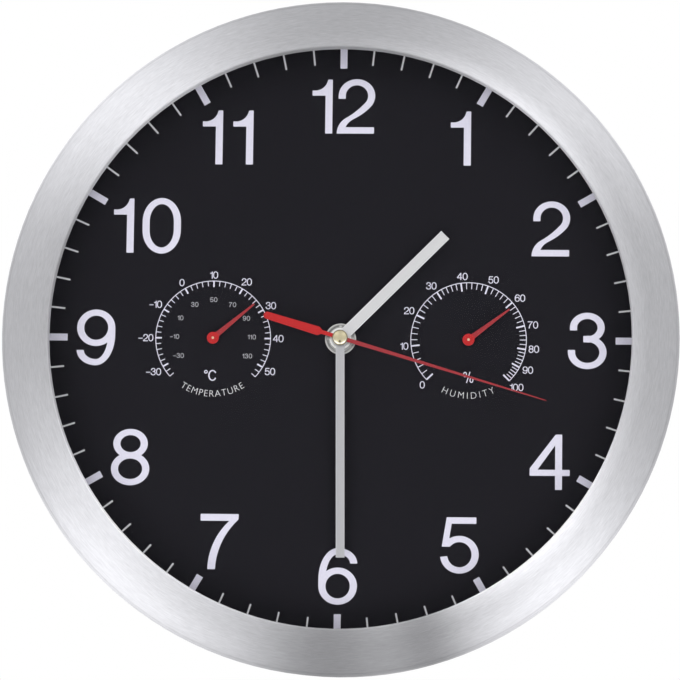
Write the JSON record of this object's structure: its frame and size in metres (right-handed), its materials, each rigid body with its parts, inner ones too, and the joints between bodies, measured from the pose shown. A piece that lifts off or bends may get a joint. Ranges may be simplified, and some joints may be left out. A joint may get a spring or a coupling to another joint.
{
  "type": "thermometer hygrometer clock",
  "caption": "Round wall clock with a brushed metal frame, black dial, white numerals, silver hands, red second hand, and small thermometer and hygrometer dials.",
  "frame": {"origin": "centre of the clock's bounding box: on the axis of the hands, halfway between the wall and the front of the frame", "axes": "+Z towards twelve o'clock, +X towards three o'clock, +Y from the dial towards the wall, so the dial faces -Y"},
  "size_m": [0.3, 0.04, 0.3],
  "materials": {
    "brushed_aluminium": "spun and brushed",
    "clear_glass": "polished",
    "black_dial": "satin black paint on aluminium sheet",
    "white_ink": "screen print",
    "silver_paint": "satin silver paint on aluminium sheet",
    "red_paint": "gloss red paint on aluminium sheet",
    "gilt_metal": "polished",
    "brass": "turned",
    "steel": "zinc plated",
    "black_plastic": "moulded, fine texture",
    "white_plastic": "moulded",
    "black_rubber": "matte",
    "copper_wire": "enamelled wire",
    "magnet": "sintered",
    "green_board": "solder mask",
    "black_epoxy": "cast blob",
    "battery_sleeve": "printed film"
  },
  "bodies": {
    "clock": {"bezel_frame": "brushed_aluminium", "front_glass": "clear_glass", "spacer_ring": "black_plastic", "dial_plate": "black_dial", "hour_numerals": "white_ink", "hour_marks": "white_ink", "minute_marks": "white_ink", "thermometer_scale": "white_ink", "hygrometer_scale": "white_ink", "threaded_bushing": "steel", "rubber_washer": "black_rubber", "dial_washer": "steel", "round_nut": "steel", "movement_case": "black_plastic", "movement_front": "black_plastic", "train_plate": "white_plastic", "case_screws": "steel", "stator": "steel", "coil_bobbin": "white_plastic", "coil_winding": "copper_wire", "circuit_board": "green_board", "circuit_chip": "black_epoxy", "quartz_crystal": "steel", "battery_contact_positive": "steel", "battery_contact_negative": "steel", "back_cover": "black_plastic", "frame_screws": "steel", "hanger_plate": "steel", "hanger_rivets": "steel", "thermometer_cup": "white_plastic", "thermometer_coil": "brass", "hygrometer_cup": "white_plastic", "hygrometer_coil": "brass"},
    "hour_train": {"hour_wheel": "white_plastic", "hour_hand": "silver_paint"},
    "minute_train": {"center_wheel": "white_plastic", "minute_hand": "silver_paint"},
    "second_train": {"second_wheel": "white_plastic", "second_hand": "red_paint", "second_hand_cap": "gilt_metal"},
    "third_wheel": {"third_wheel": "white_plastic"},
    "motion_wheel": {"motion_wheel": "white_plastic"},
    "intermediate_wheel": {"intermediate_wheel": "white_plastic"},
    "rotor": {"rotor": "white_plastic", "rotor_magnet": "magnet"},
    "set_knob": {"set_knob": "white_plastic"},
    "battery": {"battery": "battery_sleeve"},
    "thermometer_needle": {"thermometer_arbor": "brass", "thermometer_pointer": "red_paint"},
    "hygrometer_needle": {"hygrometer_arbor": "brass", "hygrometer_pointer": "red_paint"}
  },
  "joints": [
    {"name": "minute_hand_turn", "type": "hinge", "parent": "clock", "child": "minute_train", "pos_m": [0, 0, 0], "axis": [0, 1, 0], "continuous": true},
    {"name": "hour_hand_turn", "type": "hinge", "parent": "clock", "child": "hour_train", "pos_m": [0, 0, 0], "axis": [0, 1, 0], "continuous": true},
    {"name": "second_hand_turn", "type": "hinge", "parent": "clock", "child": "second_train", "pos_m": [0, 0, 0], "axis": [0, 1, 0], "continuous": true},
    {"name": "third_wheel_turn", "type": "hinge", "parent": "clock", "child": "third_wheel", "pos_m": [-0.0106, 0, 0.00612], "axis": [0, 1, 0], "continuous": true},
    {"name": "motion_wheel_turn", "type": "hinge", "parent": "clock", "child": "motion_wheel", "pos_m": [0.01159, 0, 0.00311], "axis": [0, 1, 0], "continuous": true},
    {"name": "intermediate_wheel_turn", "type": "hinge", "parent": "clock", "child": "intermediate_wheel", "pos_m": [0.006, 0, 0.01039], "axis": [0, 1, 0], "continuous": true},
    {"name": "rotor_turn", "type": "hinge", "parent": "clock", "child": "rotor", "pos_m": [0.00478, 0, 0.01729], "axis": [0, 1, 0], "continuous": true},
    {"name": "set_knob_turn", "type": "hinge", "parent": "clock", "child": "set_knob", "pos_m": [0.02078, 0, 0.01082], "axis": [0, 1, 0], "continuous": true},
    {"name": "battery_lift", "type": "slide", "parent": "clock", "child": "battery", "axis": [0, 1, 0], "range_m": [0, 0.03]},
    {"name": "thermometer_needle_turn", "type": "hinge", "parent": "clock", "child": "thermometer_needle", "pos_m": [-0.057, 0, 0], "axis": [0, 1, 0], "range_deg": [-182, 82], "stiffness_Nm_per_rad": 0.0005},
    {"name": "hygrometer_needle_turn", "type": "hinge", "parent": "clock", "child": "hygrometer_needle", "pos_m": [0.057, 0, 0], "axis": [0, 1, 0], "range_deg": [-186.7, 81.9], "stiffness_Nm_per_rad": 0.0005}
  ],
  "couplings": [
    {"joint": "hour_hand_turn", "follows": "minute_hand_turn", "ratio": 0.083333},
    {"joint": "second_hand_turn", "follows": "minute_hand_turn", "ratio": 60},
    {"joint": "third_wheel_turn", "follows": "minute_hand_turn", "ratio": -8},
    {"joint": "motion_wheel_turn", "follows": "minute_hand_turn", "ratio": -0.33333},
    {"joint": "set_knob_turn", "follows": "minute_hand_turn", "ratio": 1},
    {"joint": "intermediate_wheel_turn", "follows": "minute_hand_turn", "ratio": -300},
    {"joint": "rotor_turn", "follows": "minute_hand_turn", "ratio": 1800}
  ]
}
